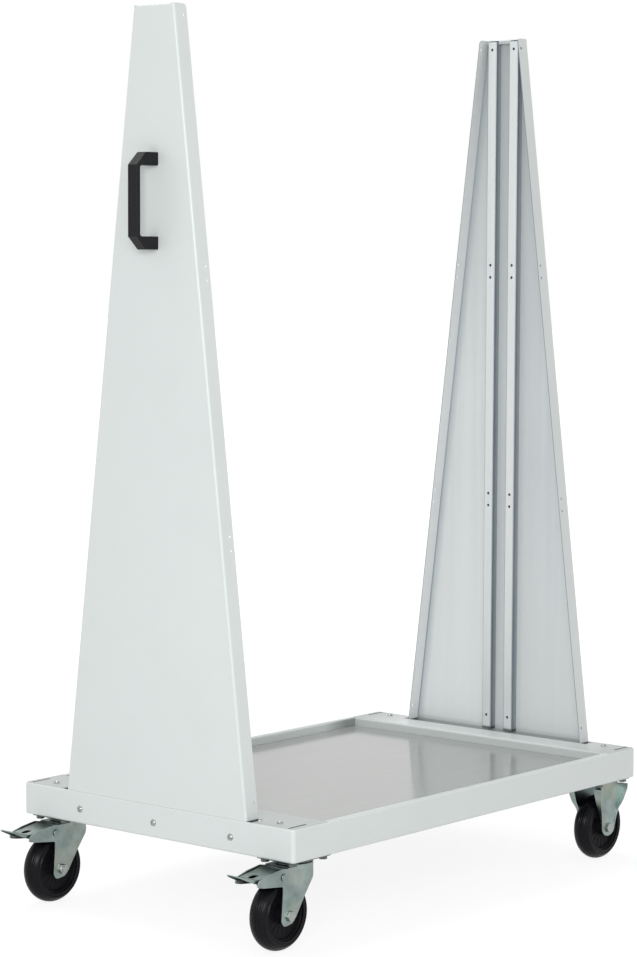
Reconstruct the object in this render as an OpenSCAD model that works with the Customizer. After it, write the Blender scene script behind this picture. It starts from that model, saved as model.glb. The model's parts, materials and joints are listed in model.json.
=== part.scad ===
// Mobile workshop trolley: a shallow tray base on four castors, with a tall
// tapering end panel at each end. Perforated boards or shelves are fastened
// between the panels. The handle end is at -X, the left side is +Y, and the
// origin is on the floor, below the middle of the whole trolley.

/* [Base frame] */
// Length of the base, end face to end face
base_l = 1020; // [860:10:1300]
// Width of the base
base_w = 640; // [600:10:800]
// Height of the base frame
base_h = 58; // [54:1:80]
// Thickness of the base's folded sheet
base_t = 2; // [1.5:0.5:2.5]
// Outer radius of the base's folds
base_fold_r = 4; // [3:0.5:5]
// Outer radius of the base's upright corners
corner_r = 7; // [6:0.5:10]
// Width of an end member's top flange
end_top_w = 92; // [80:1:110]
// Width of an end member's bottom flange, which carries the castors
end_foot_w = 118; // [116:1:150]
// Width of a side rail's top flange
rail_top_w = 13; // [12:0.5:18]
// Width of a side rail's bottom flange
rail_foot_w = 30; // [24:1:40]
// Depth of the tray floor below the rim
tray_depth = 16.5; // [12:0.5:22]
// Thickness of the tray floor
floor_t = 1.5; // [1:0.5:3]
// Gap around the tray floor
floor_gap = 0.5; // [0.3:0.1:2]
// Width of the ledges on the side rails that carry the tray floor
ledge_w = 10; // [6:1:20]
// Width of the two bearers below the tray floor
bearer_w = 30; // [20:1:50]
// Distance from each end face to the middle of a bearer
bearer_inset = 330; // [200:5:380]

/* [Corner joints] */
// Width of the side rail's tab below an end member's top flange
tab_w = 40; // [30:1:50]
// How far the tab reaches from the outside of the side rail
tab_reach = 70; // [66:1:90]
// Distance from the end face to the tab
tab_inset = 8; // [7:0.5:14]
// Width of the relief slit beside the tab
slit_w = 2.5; // [1.5:0.5:4]
// Distance of a corner bolt from the side of the base
corner_bolt_inset = 54; // [48:1:58]

/* [End panels] */
// Height of the panels' top above the underside of the base
panel_top = 1432; // [1200:2:1700]
// Width of a panel where it meets the base
panel_foot_w = 427; // [380:1:440]
// Width of a panel at its top
panel_top_w = 93; // [90:1:140]
// Depth of a panel's side flanges, outer face to free edge
panel_depth = 31; // [28:0.5:40]
// Thickness of the panel sheet
panel_t = 1.5; // [1:0.5:2]
// Outer radius of the panel's folds
panel_fold_r = 4; // [3:0.5:5]
// Depth of the fold along the panel's top
hem_depth = 12; // [10:0.5:14]
// Height of the lip on the top fold
hem_h = 8; // [6:0.5:12]
// Rounding of the flanges' top corners
flange_corner_r = 7; // [4:0.5:9]
// How far the slot in the base is longer than the panel, at each end
slot_extra = 13; // [10:0.5:16]
// Gap between the panel's free edges and the end of the slot
slot_gap = 1; // [0.5:0.5:3]
// Height of the foot bolts above the underside of the base
foot_bolt_z = 26.5; // [20:0.5:34]
// Distance of the outer foot bolts from the middle of the panel
foot_bolt_y = 179; // [120:1:190]

/* [Posts and fixing holes] */
// Width of a post's face
post_w = 22; // [20:1:26]
// Depth of a post from the inside of the panel sheet
post_depth = 15; // [13:0.5:18]
// Distance between the middles of the two posts of a panel
post_pitch = 52; // [48:1:54]
// Gap between a post's lower end and the top of the base
post_gap = 0.5; // [0.5:0.5:12]
// Height of one board that is fastened between the panels
board_h = 455; // [380:1:456]
// Number of boards one above the other
board_n = 3; // [1:1:3]
// Distance of the outermost fixing holes from the edge of the top or bottom board
end_hole_inset = 19; // [12:0.5:30]
// Distance between the two fixing holes where one board ends and the next begins
board_hole_gap = 24; // [14:1:40]
// Diameter of the fixing holes in the posts
post_hole_d = 5.5; // [4:0.1:7]
// Diameter of the fixing holes in the side flanges
flange_hole_d = 5; // [4:0.1:6]
// Distance of the flange holes from the flange's free edge
flange_hole_inset = 8; // [6:0.5:10]

/* [Push handle] */
// Overall length of the handle
handle_l = 165; // [140:1:200]
// Width of the handle
handle_w = 22; // [18:0.5:28]
// How far the handle stands out from the panel
handle_out = 52; // [44:1:64]
// Thickness of the grip
grip_t = 8.5; // [7:0.5:14]
// Height of each arm
arm_h = 22.5; // [18:0.5:28]
// Length of the sloped outer corners, measured along X and Z
handle_slope = 22; // [12:0.5:26]
// Height of the handle's middle above the underside of the base
handle_z = 1099.5; // [900:1:1120]
// Diameter of the handle's screws
handle_screw_d = 6; // [5:0.5:8]
// Depth of the screw holes in the handle's arms
handle_screw_depth = 20; // [14:1:28]

/* [Castors] */
// Height from the floor to the underside of the base
castor_h = 157; // [154:1:170]
// Diameter of the wheels
wheel_d = 125; // [118:1:126]
// Width of the tyre
tyre_w = 36; // [30:0.5:38]
// Radius of the tyre's crowned tread across its width
crown_r = 22; // [20:1:60]
// Radius of the wheel centre inside the tyre
rim_r = 45; // [40:0.5:48]
// Length of a castor's top plate
plate_l = 104; // [100:1:105]
// Width of a castor's top plate
plate_w = 84; // [80:1:88]
// Thickness of a castor's top plate
plate_t = 3; // [2.5:0.5:4]
// Distance between the plate's holes along the trolley
plate_hole_x = 80; // [76:1:84]
// Distance between the plate's holes across the trolley
plate_hole_y = 60; // [56:1:64]
// Distance of a swivel castor's pivot from the handle-end face
swivel_inset = 60; // [56:1:64]
// Distance of a fixed castor's middle from the far end face
fixed_inset = 53.5; // [53:0.5:60]
// Distance of the castors' middles from the sides of the base
castor_side_inset = 50; // [48:0.5:56]
// Distance of a swivel castor's axle behind its pivot
castor_trail = 40; // [36:0.5:44]
// Gap between a fork's cheeks
fork_gap = 47; // [45:0.5:52]
// Thickness of the fork's sheet
fork_t = 2.5; // [2:0.5:3]
// Half the width of a fork's leg at the axle
leg_r = 16; // [13:0.5:18]
// Width of a fixed fork's cheek below the plate's nuts
fixed_top_w = 94; // [86:1:100]
// Width of a fixed fork's leg at the axle
fixed_leg_w = 42; // [34:1:46]
// How far a fixed fork's edges turn outwards below the plate's nuts
fixed_flare = 13; // [8:0.5:14]
// Outer diameter of the bush that the wheel turns on
bush_d = 15; // [13:0.5:18]
// Diameter of the axle bolt
axle_d = 10; // [8:0.5:11]
// Running clearance of the wheel on its bush and the fork on its pivot
run_gap = 0.05; // [0.03:0.01:0.1]

/* [Swivel head and brake] */
// Diameter of the bearing balls
ball_d = 6; // [5:0.5:6.5]
// Number of bearing balls in a swivel head
ball_n = 14; // [8:1:18]
// Radius of the ring of balls
ball_ring_r = 26; // [25:0.5:27]
// Radius of the crown of the fork
crown_disc_r = 33; // [32:0.5:36]
// Diameter of the swivel pivot
kingpin_d = 12; // [10:0.5:14]
// Length of the fork's arms beside the brake pedal, from the pivot
arm_l = 121; // [116:1:126]
// Height of the arms' tips below the fork's top
arm_drop = 11; // [9:0.5:12]
// Height of the fork's rounded front above the axle, where it joins the cheeks
front_rise = 58; // [54:1:64]
// How much higher the front's lower edge is in the middle
front_arch = 16; // [8:1:18]
// Distance from the pivot to the tip of the brake pedal
pedal_reach = 157; // [152:1:164]
// Width of the brake pedal between the fork's cheeks
pedal_w = 44; // [42:0.5:44.5]
// Width of the pedal at its bend
pedal_bend_w = 39; // [34:1:42]
// Width of the pedal's tip
pedal_tip_w = 32; // [24:1:34]
// Thickness of the pedal's sheet
pedal_t = 2; // [1.5:0.5:2]
// Gap between the released brake shoe and the tyre
shoe_gap = 3; // [3:0.1:4]
// Diameter of the pedal's rivet
rivet_d = 8; // [6:0.5:8]

/* [Hidden] */
$fn = 48;

// Small overlap for cuts that run past a face
cut = 1;
// Clearance of a bolt in its nut or of two round faces fixed together
snug = 0.05;

// Fasteners: thread diameter, clearance hole, head or nut across flats, height
m6_d = 6;
m6_hole = 6.6;
m6_flats = 10;
m6_nut_h = 5;
m8_d = 8;
m8_hole = 8.6;
m8_flats = 13;
m8_head_h = 5.3;
m8_nut_h = 6.5;
dome_d = 12.5;
dome_h = 4;
thread_end = 0.5;

// Ends of the base along X, so that the whole trolley is centred on the origin
pedal_overhang = pedal_reach - swivel_inset;
far_overhang = max(dome_h, wheel_d / 2 - fixed_inset);
whole_l = base_l + pedal_overhang + far_overhang;
x_handle_end = pedal_overhang - whole_l / 2;
x_far_end = x_handle_end + base_l;
base_z = castor_h;
end_half_w = base_w / 2 - rail_top_w;

floor_top = base_h - tray_depth;
floor_under = floor_top - floor_t;
floor_half_w = end_half_w - floor_gap;

// Panel: slope of its sides and the half width at a height above the base's underside
slope = (panel_foot_w - panel_top_w) / 2 / (panel_top - base_h);
slant = atan(slope);
function half_w(z) = panel_foot_w / 2 - slope * (z - base_h);
panel_inside = base_t + panel_t;
post_face = panel_inside + post_depth;
post_bend_r = 2.5;

// Heights of the rows of fixing holes, two to a board, downwards from the top
function hole_inset(outermost) = outermost ? end_hole_inset : board_hole_gap / 2;
board_rows = [for (i = [0:board_n - 1]) each [
    panel_top - i * board_h - hole_inset(i == 0),
    panel_top - (i + 1) * board_h + hole_inset(i == board_n - 1)]];

// Castor heights below the base's underside
wheel_r = wheel_d / 2;
axle_z = wheel_r - castor_h;
tyre_top = wheel_d - castor_h;
castor_y = base_w / 2 - castor_side_inset;
race_z = -plate_t - 5;
ball_z = race_z - 0.5;
crown_z = race_z - 1.5;
fork_top = -plate_t - m8_nut_h - 1.5;
fork_under = fork_top - fork_t;
kingpin_nut_h = 8.5;
kingpin_flats = 19;
cheek_in = fork_gap / 2;
cheek_out = cheek_in + fork_t;
axle_x = -castor_trail;
front_x = sqrt(pow(crown_disc_r, 2) - pow(cheek_out, 2));
skirt_z = tyre_top - 10;
axle_flats = 16;
axle_head_h = 5;
axle_nut_h = 5;

// Brake pedal: its rivet, its sloped top and its turned-up tip
rivet_x = axle_x - 16;
rivet_z = tyre_top + rivet_d / 2 + 1.4;
pedal_end_x = rivet_x + 8;
pedal_start_x = rivet_x - 2;
pedal_bend_x = -arm_l + 3;
pedal_neck_x = pedal_bend_x + 12;
pedal_start_z = fork_top - 1.5;
pedal_bend_z = pedal_start_z - 9.5;
pedal_tip_z = fork_top + 2;
pedal_slope = (pedal_start_z - pedal_bend_z) / (pedal_start_x - pedal_bend_x);
function pedal_top(x) = pedal_start_z + (x - pedal_start_x) * pedal_slope;

// Outline points given as [x, y, corner radius], with each corner turned into an arc
function unit(v) = v / norm(v);
function flat(p) = [p[0], p[1]];
function turn(a) = a > 180 ? a - 360 : a < -180 ? a + 360 : a;
function rounded_corner(a, b, c, r, n) =
    r == 0 ? [b] :
    let (u = unit(a - b),
         v = unit(c - b),
         half = acos(u * v) / 2,
         mid = b + unit(u + v) * r / sin(half),
         from = b + u * r / tan(half) - mid,
         to = b + v * r / tan(half) - mid,
         start = atan2(from[1], from[0]),
         sweep = turn(atan2(to[1], to[0]) - start))
    [for (i = [0:n]) mid + r * [cos(start + sweep * i / n), sin(start + sweep * i / n)]];
function rounded(pts, n = 5) =
    let (m = len(pts))
    [for (i = [0:m - 1]) each rounded_corner(
        flat(pts[(i + m - 1) % m]), flat(pts[i]), flat(pts[(i + 1) % m]), pts[i][2], n)];

// An outline drawn in X and Z, extruded across from y0 to y1
module across(y0, y1) {
    translate([0, y1, 0])
        rotate([90, 0, 0])
            linear_extrude(y1 - y0)
                children();
}

// An outline drawn in Y and Z, extruded along from x0 to x1
module along(x0, x1) {
    translate([x0, 0, 0])
        rotate([90, 0, 90])
            linear_extrude(x1 - x0)
                children();
}

// A round bar along X, from x0 to x1
module bar_x(r, x0, x1) {
    translate([x0, 0, 0])
        rotate([0, 90, 0])
            cylinder(r = r, h = x1 - x0);
}

// A round bar along Y, from y0 to y1
module bar_y(r, y0, y1) {
    translate([0, y0, 0])
        rotate([-90, 0, 0])
            cylinder(r = r, h = y1 - y0);
}

module hexagon(flats, h) {
    cylinder(d = flats / cos(30), h = h, $fn = 6);
}

module hex_nut(flats, h, d) {
    difference() {
        hexagon(flats, h);
        translate([0, 0, -cut])
            cylinder(r = d / 2 + snug, h = h + 2 * cut);
    }
}

// A domed head, standing on z = 0
module dome_head() {
    ball_r = (dome_d * dome_d / 4 + dome_h * dome_h) / (2 * dome_h);
    intersection() {
        translate([0, 0, dome_h - ball_r])
            sphere(r = ball_r);
        cylinder(d = dome_d + cut, h = dome_h + cut);
    }
}

module quarter_fold(r, t) {
    intersection() {
        difference() {
            circle(r);
            circle(r - t);
        }
        square(r);
    }
}

// Section of a folded member: foot, upright web and top, measured inwards from its face
module fold_section(top_w, foot_w) {
    r = base_fold_r;
    t = base_t;
    translate([r, 0])
        square([foot_w - r, t]);
    translate([r, r])
        rotate(180)
            quarter_fold(r, t);
    translate([0, r])
        square([t, base_h - 2 * r]);
    translate([r, base_h - r])
        rotate(90)
            quarter_fold(r, t);
    translate([r, base_h - t])
        square([top_w - r, t]);
}

// The same section with the tray's lip turned down at the inner edge
module lipped_section(top_w, foot_w) {
    r = base_fold_r;
    fold_section(top_w - r, foot_w);
    translate([top_w - r, base_h - r])
        quarter_fold(r, base_t);
    translate([top_w - base_t, floor_under])
        square([base_t, base_h - r - floor_under]);
}

// A side rail's section, whose lip ends in a ledge below the tray floor
module ledge_section(foot_w) {
    lipped_section(rail_top_w, foot_w);
    translate([rail_top_w - base_t, floor_under - base_t])
        square([base_t + ledge_w, base_t]);
}

// Places a piece at an end of the base, with x measured inwards from the end face
module at_end(far) {
    translate([far ? x_far_end : x_handle_end, 0, base_z])
        mirror([far ? 1 : 0, 0, 0])
            children();
}

module both_sides() {
    children();
    mirror([0, 1, 0])
        children();
}

module castor_hole_places(inset) {
    for (dx = [-1, 1])
        for (dy = [-1, 1])
            translate([inset + dx * plate_hole_x / 2, castor_y + dy * plate_hole_y / 2, 0])
                children();
}

module foot_bolt_places() {
    for (y = [-foot_bolt_y, 0, foot_bolt_y])
        translate([0, y, foot_bolt_z])
            children();
}

module corner_bolt_place() {
    translate([tab_inset + tab_w / 2, base_w / 2 - corner_bolt_inset, base_h])
        children();
}

module end_member(inset, pivot_hole_r) {
    slot_half = half_w(base_h) + slot_extra;
    difference() {
        across(-end_half_w, end_half_w)
            lipped_section(end_top_w, end_foot_w);
        translate([base_t, -slot_half, base_h - base_fold_r])
            cube([panel_depth + slot_gap, 2 * slot_half, base_fold_r + cut]);
        foot_bolt_places()
            bar_x(m6_hole / 2, -cut, base_t + cut);
        both_sides() {
            translate([tab_inset, end_half_w - slit_w, base_h - base_t - cut])
                cube([tab_w, slit_w + cut, base_t + 2 * cut]);
            corner_bolt_place()
                translate([0, 0, -base_t - cut])
                    cylinder(d = m6_hole, h = base_t + 2 * cut);
            castor_hole_places(inset)
                translate([0, 0, -cut])
                    cylinder(d = m8_hole, h = base_t + 2 * cut);
            if (pivot_hole_r > 0)
                translate([inset, castor_y, -cut])
                    cylinder(r = pivot_hole_r, h = base_t + 2 * cut);
        }
    }
}

// Half of a side rail, on the left, with x measured inwards from the end face
module rail_half() {
    outside = base_w / 2;
    run = base_l / 2;
    translate([corner_r, outside - corner_r, 0])
        rotate(90)
            rotate_extrude(angle = 90)
                translate([corner_r, 0])
                    mirror([1, 0])
                        fold_section(corner_r, corner_r);
    across(end_half_w, outside - corner_r)
        fold_section(corner_r, corner_r);
    translate([0, outside, 0])
        mirror([0, 1, 0]) {
            along(corner_r, end_top_w)
                fold_section(rail_top_w, rail_top_w);
            along(end_top_w, end_foot_w)
                ledge_section(rail_top_w);
            along(end_foot_w, run)
                ledge_section(rail_foot_w);
        }
    difference() {
        union() {
            translate([tab_inset, outside - tab_reach, base_h - 2 * base_t])
                cube([tab_w, tab_reach - rail_top_w + base_t, base_t]);
            translate([tab_inset, end_half_w, base_h - 2 * base_t])
                cube([tab_w, base_t, 2 * base_t]);
        }
        corner_bolt_place()
            translate([0, 0, -2 * base_t - cut])
                cylinder(d = m6_hole, h = base_t + 2 * cut);
    }
}

module side_rail(left) {
    color("gainsboro")
        mirror([0, left ? 0 : 1, 0]) {
            at_end(false)
                rail_half();
            at_end(true)
                rail_half();
        }
}

module handle_end_member() {
    color("gainsboro")
        at_end(false)
            end_member(swivel_inset, kingpin_flats / 2 + 4);
}

module far_end_member() {
    color("gainsboro")
        at_end(true)
            end_member(fixed_inset, 0);
}

module right_side_rail() {
    side_rail(false);
}

module left_side_rail() {
    side_rail(true);
}

module tray_floor() {
    inset = end_top_w + floor_gap;
    color("silver")
        translate([x_handle_end + inset, -floor_half_w, base_z + floor_under])
            cube([base_l - 2 * inset, 2 * floor_half_w, floor_t]);
}

// A folded bearer that stands on the side rails' feet and carries the tray floor
module bearer(far) {
    h = floor_under - base_t;
    half_l = end_half_w - ledge_w - floor_gap;
    color("silver")
        at_end(far)
            translate([bearer_inset - bearer_w / 2, 0, base_t])
                across(-half_l, half_l)
                    difference() {
                        square([bearer_w, h]);
                        translate([base_t, base_t])
                            square([bearer_w, h - 2 * base_t]);
                    }
}

module handle_end_bearer() {
    bearer(false);
}

module far_end_bearer() {
    bearer(true);
}

module every_corner() {
    for (far = [false, true])
        at_end(far)
            both_sides()
                corner_bolt_place()
                    children();
}

module corner_bolts() {
    reach = 2 * base_t + m6_nut_h + thread_end;
    color("dimgray")
        every_corner() {
            dome_head();
            translate([0, 0, -reach])
                cylinder(d = m6_d, h = reach + cut / 2);
        }
}

module corner_nuts() {
    color("silver")
        every_corner()
            translate([0, 0, -2 * base_t - m6_nut_h])
                hex_nut(m6_flats, m6_nut_h, m6_d);
}

module every_castor_hole() {
    for (far = [false, true])
        at_end(far)
            both_sides()
                castor_hole_places(far ? fixed_inset : swivel_inset)
                    children();
}

module castor_bolts() {
    reach = plate_t + m8_nut_h + thread_end;
    color("silver")
        every_castor_hole() {
            translate([0, 0, base_t])
                hexagon(m8_flats, m8_head_h);
            translate([0, 0, -reach])
                cylinder(d = m8_d, h = reach + base_t + cut);
        }
}

module castor_nuts() {
    color("silver")
        every_castor_hole()
            translate([0, 0, -plate_t - m8_nut_h])
                hex_nut(m8_flats, m8_nut_h, m8_d);
}

// A panel's sloped side flange and fold, on the left, past both ends of the panel
module panel_side() {
    r = panel_fold_r;
    translate([base_t, half_w(0), 0])
        rotate([slant, 0, 0])
            translate([0, 0, -panel_depth])
                linear_extrude(panel_top + 3 * panel_depth) {
                    translate([r, -panel_t])
                        square([panel_depth - r, panel_t]);
                    translate([r, -r])
                        rotate(90)
                            quarter_fold(r, panel_t);
                    translate([0, -r - panel_t])
                        square([panel_t, panel_t]);
                }
}

module flange_holes() {
    for (z = board_rows)
        translate([base_t + panel_depth - flange_hole_inset, half_w(z), z])
            rotate([slant, 0, 0])
                bar_y(flange_hole_d / 2, -panel_t - cut, cut);
}

// The fold along the panel's top, with its lip interrupted at the posts
module panel_hem() {
    r = panel_fold_r;
    reach = half_w(panel_top) - r - panel_t;
    room = post_w / 2 + cut;
    difference() {
        across(-reach, reach) {
            translate([r, panel_top - r])
                rotate(90)
                    quarter_fold(r, panel_t);
            translate([r, panel_top - panel_t])
                square([hem_depth - 2 * r, panel_t]);
            translate([hem_depth - r, panel_top - r])
                quarter_fold(r, panel_t);
            translate([hem_depth - panel_t, panel_top - hem_h])
                square([panel_t, hem_h - r]);
        }
        both_sides()
            translate([panel_t + cut, post_pitch / 2 - room, panel_top - hem_h - cut])
                cube([hem_depth, 2 * room, hem_h - panel_t + cut]);
    }
}

module end_panel(far) {
    edge = (panel_fold_r + panel_t / 2) / cos(slant);
    r = flange_corner_r;
    low = base_fold_r;
    high = panel_top - panel_fold_r;
    color("lightgray")
        at_end(far)
            difference() {
                union() {
                    along(base_t, base_t + panel_t)
                        polygon([
                            [-half_w(low) + edge, low], [half_w(low) - edge, low],
                            [half_w(high) - edge, high], [-half_w(high) + edge, high]]);
                    intersection() {
                        both_sides()
                            panel_side();
                        translate([0, -base_w / 2, low])
                            cube([2 * panel_depth, base_w, panel_top - low]);
                    }
                    translate([base_t, 0, 0])
                        panel_hem();
                }
                both_sides()
                    flange_holes();
                across(-base_w / 2, base_w / 2)
                    translate([base_t + panel_depth - r, panel_top - r])
                        difference() {
                            square(r + cut);
                            circle(r);
                        }
                foot_bolt_places()
                    bar_x(m6_hole / 2, 0, panel_inside + cut);
                if (!far)
                    handle_screw_places()
                        bar_x(handle_screw_d / 2 + 0.3, 0, panel_inside + cut);
            }
}

module handle_end_panel() {
    end_panel(false);
}

module far_end_panel() {
    end_panel(true);
}

// A folded post behind the panel, whose face carries the boards
module post(far, left) {
    low = base_h + post_gap;
    high = panel_top - panel_fold_r;
    r = post_bend_r;
    color("silver")
        at_end(far)
            translate([0, (left ? 1 : -1) * post_pitch / 2, 0])
                difference() {
                    translate([0, 0, low])
                        linear_extrude(high - low) {
                            translate([post_face - panel_t, -post_w / 2 + r])
                                square([panel_t, post_w - 2 * r]);
                            for (s = [0, 1])
                                mirror([0, s]) {
                                    translate([post_face - r, post_w / 2 - r])
                                        quarter_fold(r, panel_t);
                                    translate([panel_inside, post_w / 2 - panel_t])
                                        square([post_depth - r, panel_t]);
                                }
                        }
                    for (z = board_rows)
                        translate([0, 0, z])
                            bar_x(post_hole_d / 2, post_face - panel_t - cut, post_face + cut);
                }
}

module handle_end_right_post() {
    post(false, false);
}

module handle_end_left_post() {
    post(false, true);
}

module far_end_right_post() {
    post(true, false);
}

module far_end_left_post() {
    post(true, true);
}

module every_foot_bolt() {
    for (far = [false, true])
        at_end(far)
            foot_bolt_places()
                children();
}

module panel_foot_bolts() {
    reach = panel_inside + m6_nut_h + thread_end;
    color("silver")
        every_foot_bolt() {
            rotate([0, -90, 0])
                dome_head();
            bar_x(m6_d / 2, -cut / 2, reach);
        }
}

module panel_foot_nuts() {
    color("silver")
        every_foot_bolt()
            translate([panel_inside, 0, 0])
                rotate([0, 90, 0])
                    hex_nut(m6_flats, m6_nut_h, m6_d);
}

module handle_screw_places() {
    for (s = [-1, 1])
        translate([0, 0, handle_z + s * (handle_l - arm_h) / 2])
            children();
}

module push_handle() {
    low = handle_z - handle_l / 2;
    high = handle_z + handle_l / 2;
    color("black")
        at_end(false)
            translate([base_t, 0, 0])
                difference() {
                    across(-handle_w / 2, handle_w / 2)
                        polygon(rounded([
                            [0, low, 0],
                            [-handle_out + handle_slope, low, 4],
                            [-handle_out, low + handle_slope, 4],
                            [-handle_out, high - handle_slope, 4],
                            [-handle_out + handle_slope, high, 4],
                            [0, high, 0],
                            [0, high - arm_h, 0],
                            [-handle_out + grip_t, high - arm_h, 5],
                            [-handle_out + grip_t, low + arm_h, 5],
                            [0, low + arm_h, 0]]));
                    handle_screw_places()
                        bar_x(handle_screw_d / 2 + snug, -handle_screw_depth, cut);
                }
}

// Screws from the inside of the panel into the handle's arms
module handle_screws() {
    color("silver")
        at_end(false)
            handle_screw_places() {
                bar_x(handle_screw_d / 2, base_t - handle_screw_depth + 2, panel_inside + cut);
                bar_x(handle_screw_d, panel_inside, panel_inside + 3.5);
            }
}

// Places a piece at a swivel castor's pivot, with -y outwards and z = 0 at the plate's top
module at_swivel(left) {
    translate([x_handle_end + swivel_inset, (left ? 1 : -1) * castor_y, base_z])
        mirror([0, left ? 1 : 0, 0])
            children();
}

// Places a piece at the middle of a fixed castor's plate in the same way
module at_fixed(left) {
    translate([x_far_end - fixed_inset, (left ? 1 : -1) * castor_y, base_z])
        mirror([0, left ? 1 : 0, 0])
            children();
}

// Places a wheel part on the axle of a swivel castor
module at_swivel_axle(left) {
    at_swivel(left)
        translate([axle_x, 0, axle_z])
            children();
}

// Places a wheel part on the axle of a fixed castor
module at_fixed_axle(left) {
    at_fixed(left)
        translate([0, 0, axle_z])
            children();
}

module plate_blank() {
    x = plate_l / 2;
    y = plate_w / 2;
    r = 8;
    difference() {
        translate([0, 0, -plate_t])
            linear_extrude(plate_t)
                polygon(rounded([[-x, -y, r], [x, -y, r], [x, y, r], [-x, y, r]]));
        for (dx = [-1, 1])
            for (dy = [-1, 1])
                translate([dx * plate_hole_x / 2, dy * plate_hole_y / 2, -plate_t - cut])
                    cylinder(d = m8_hole, h = plate_t + 2 * cut);
    }
}

// The groove that the balls run in, cut from the plate's race and from the crown
module ball_groove() {
    translate([0, 0, ball_z])
        rotate_extrude()
            translate([ball_ring_r, 0])
                circle(ball_d / 2 + 0.3);
}

module swivel_plate(left) {
    color("lightsteelblue")
        at_swivel(left)
            difference() {
                union() {
                    plate_blank();
                    difference() {
                        translate([0, 0, race_z])
                            cylinder(r = crown_disc_r, h = -plate_t - race_z + cut);
                        translate([0, 0, race_z - cut])
                            cylinder(r = ball_ring_r - 6, h = -plate_t - race_z + cut);
                    }
                }
                ball_groove();
                translate([0, 0, -plate_t - cut])
                    cylinder(r = kingpin_d / 2 + snug, h = plate_t + 2 * cut);
            }
}

module kingpin(left) {
    reach = -fork_under + kingpin_nut_h + 1.5;
    color("silver")
        at_swivel(left) {
            cylinder(r = kingpin_flats / 2, h = 4);
            translate([0, 0, -reach])
                cylinder(d = kingpin_d, h = reach + cut);
        }
}

module kingpin_nut(left) {
    color("silver")
        at_swivel(left)
            translate([0, 0, fork_under - kingpin_nut_h - 0.3])
                hex_nut(kingpin_flats, kingpin_nut_h, kingpin_d);
}

module swivel_balls(left) {
    color("gray")
        at_swivel(left)
            for (i = [0:ball_n - 1])
                rotate(i * 360 / ball_n)
                    translate([ball_ring_r, 0, ball_z])
                        sphere(d = ball_d);
}

// Outline of a swivel fork's cheek: leg, front edge and the arm that holds the brake
module swivel_cheek_outline() {
    heel = axle_x - leg_r - 1;
    foot = heel - 4.5;
    polygon(rounded([
        [front_x, fork_top, 0],
        [-arm_l / 2, fork_top, crown_disc_r],
        [-arm_l * 0.76, fork_top - arm_drop * 0.4, crown_disc_r],
        [-arm_l + 4, fork_top - arm_drop, 3],
        [-arm_l, fork_top - arm_drop - 6, 3],
        [-arm_l, skirt_z + 9, 3],
        [-arm_l * 0.88, skirt_z + 6, 4],
        [heel, skirt_z, 5],
        [foot, axle_z - 6.5, 6],
        [foot + 4.5, axle_z - leg_r + 1.5, 5],
        [foot + 11.5, axle_z - leg_r, 8],
        [axle_x + 6, axle_z - leg_r + 2.5, 7],
        [axle_x + leg_r, axle_z - 4, 8],
        [(front_x + axle_x + leg_r) / 2, axle_z + front_rise / 2, 20],
        [front_x, axle_z + front_rise, 12]]));
}

// The fork's rounded front, wrapped around the pivot from cheek to cheek
module swivel_front() {
    inside = crown_disc_r - fork_t;
    low = axle_z + front_rise;
    intersection() {
        difference() {
            translate([0, 0, low])
                cylinder(r = crown_disc_r, h = crown_z - low);
            translate([0, 0, low - cut])
                cylinder(r = inside, h = crown_z - low + 2 * cut);
        }
        across(-crown_disc_r, crown_disc_r)
            polygon([
                [front_x - 1, low], [front_x, low], [crown_disc_r + cut, low + front_arch],
                [crown_disc_r + cut, crown_z], [front_x - 1, crown_z]]);
    }
}

module swivel_fork(left) {
    plate_x = -crown_disc_r - 12;
    color("lightsteelblue")
        at_swivel(left)
            difference() {
                union() {
                    both_sides()
                        across(-cheek_out, -cheek_in)
                            swivel_cheek_outline();
                    swivel_front();
                    translate([plate_x, -cheek_out, fork_under])
                        cube([front_x - plate_x, 2 * cheek_out, fork_t]);
                    translate([0, 0, fork_under])
                        cylinder(r = crown_disc_r, h = crown_z - fork_under);
                    difference() {
                        translate([0, 0, fork_under - 5])
                            cylinder(r = crown_disc_r, h = 5 + cut);
                        translate([0, 0, fork_under - 5 - cut])
                            cylinder(r = crown_disc_r - fork_t, h = 5 + 2 * cut);
                    }
                }
                ball_groove();
                translate([0, 0, fork_under - cut])
                    cylinder(r = kingpin_d / 2 + run_gap, h = crown_z - fork_under + 2 * cut);
                translate([axle_x, 0, axle_z])
                    bar_y(axle_d / 2 + snug, -cheek_out - cut, cheek_out + cut);
                translate([rivet_x, 0, rivet_z])
                    bar_y(rivet_d / 2 + snug, -cheek_out - cut, cheek_out + cut);
            }
}

module pedal_rivet(left) {
    head_h = 2;
    color("silver")
        at_swivel(left)
            translate([rivet_x, 0, rivet_z]) {
                bar_y(rivet_d / 2, -cheek_out - cut / 2, cheek_out + cut / 2);
                both_sides()
                    bar_y(rivet_d * 0.8, cheek_out, cheek_out + head_h);
            }
}

// The pedal's sheet seen from the side: sloped top and turned-up tip
module pedal_sheet_outline() {
    polygon([
        [pedal_start_x, pedal_start_z], [pedal_bend_x, pedal_bend_z], [-pedal_reach, pedal_tip_z],
        [-pedal_reach, pedal_tip_z - pedal_t], [pedal_bend_x, pedal_bend_z - pedal_t],
        [pedal_start_x, pedal_start_z - pedal_t]]);
}

module pedal_cheek_outline() {
    polygon(rounded([
        [pedal_end_x, rivet_z + 9, 4],
        [pedal_start_x, pedal_start_z, 0],
        [pedal_neck_x, pedal_top(pedal_neck_x), 0],
        [pedal_neck_x, pedal_top(pedal_neck_x) - 6, 3],
        [pedal_neck_x + 16, skirt_z + 9, 4],
        [rivet_x - 6, rivet_z - 8, 4],
        [pedal_end_x, rivet_z - 8, 4]]));
}

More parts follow.
